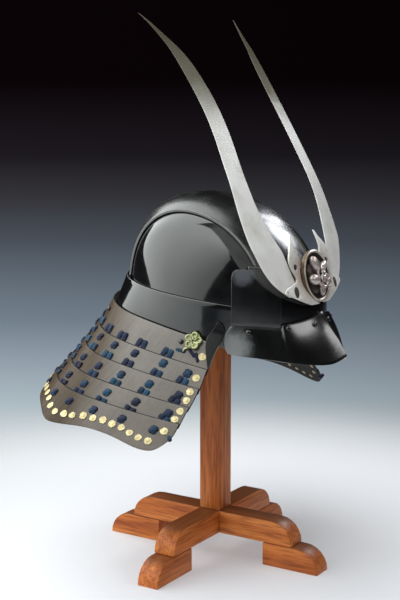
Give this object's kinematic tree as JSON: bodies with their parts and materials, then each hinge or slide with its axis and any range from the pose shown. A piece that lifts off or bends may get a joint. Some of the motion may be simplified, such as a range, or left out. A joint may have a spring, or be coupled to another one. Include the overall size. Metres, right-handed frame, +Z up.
{
  "type": "kabuto samurai helmet on a wooden stand",
  "caption": "Lacquered samurai helmet with a flared laced neck guard, peaked visor and tall forehead horns round a disc ornament, resting on a plain cross-footed wooden post stand.",
  "frame": {"origin": "centre of the footprint of the whole object, on the ground under the stand's feet", "axes": "+Z up; -Y towards the visor and crest; -X towards the helmet's right side"},
  "size_m": [0.4082, 0.3352, 0.6237],
  "materials": {
    "black_lacquer": "deep black gloss lacquer on iron plate",
    "lame_lacquer": "warm grey-brown satin lacquer with a fine upright grain",
    "rivet_iron": "dark lacquered iron",
    "silvered": "tarnished silvered copper, satin",
    "gilt": "pale worn gilding",
    "stand_wood": "reddish-brown hardwood, oiled"
  },
  "bodies": {
    "root": {"beam_x": "stand_wood", "beam_y": "stand_wood", "foot_right": "stand_wood", "foot_left": "stand_wood", "foot_front": "stand_wood", "foot_back": "stand_wood", "post": "stand_wood", "rest_cap": "stand_wood", "side_plate_right": "black_lacquer", "side_plate_left": "black_lacquer", "top_plate": "black_lacquer", "waist_band": "black_lacquer", "brow_plate": "black_lacquer", "temple_plate_right": "black_lacquer", "temple_plate_left": "black_lacquer", "visor": "black_lacquer", "visor_rivet_1": "rivet_iron", "visor_rivet_2": "rivet_iron", "visor_rivet_3": "rivet_iron", "visor_rivet_4": "rivet_iron", "visor_rivet_5": "rivet_iron", "visor_rivet_6": "rivet_iron", "lame_1": "lame_lacquer", "lame_2": "lame_lacquer", "lame_3": "lame_lacquer", "lame_4": "lame_lacquer", "lame_5": "lame_lacquer", "lame_rivet_1": "rivet_iron", "lame_rivet_2": "rivet_iron", "lame_rivet_3": "rivet_iron", "lame_rivet_4": "rivet_iron", "turnback_right": "black_lacquer", "turnback_left": "black_lacquer", "rosette_right": "gilt", "rosette_left": "gilt", "horn_right": "silvered", "horn_left": "silvered", "horn_holder_right": "silvered", "horn_holder_left": "silvered", "disc_rim": "silvered", "disc_ground": "rivet_iron", "disc_scroll": "silvered", "disc_bracket": "rivet_iron"}
  },
  "joints": []
}
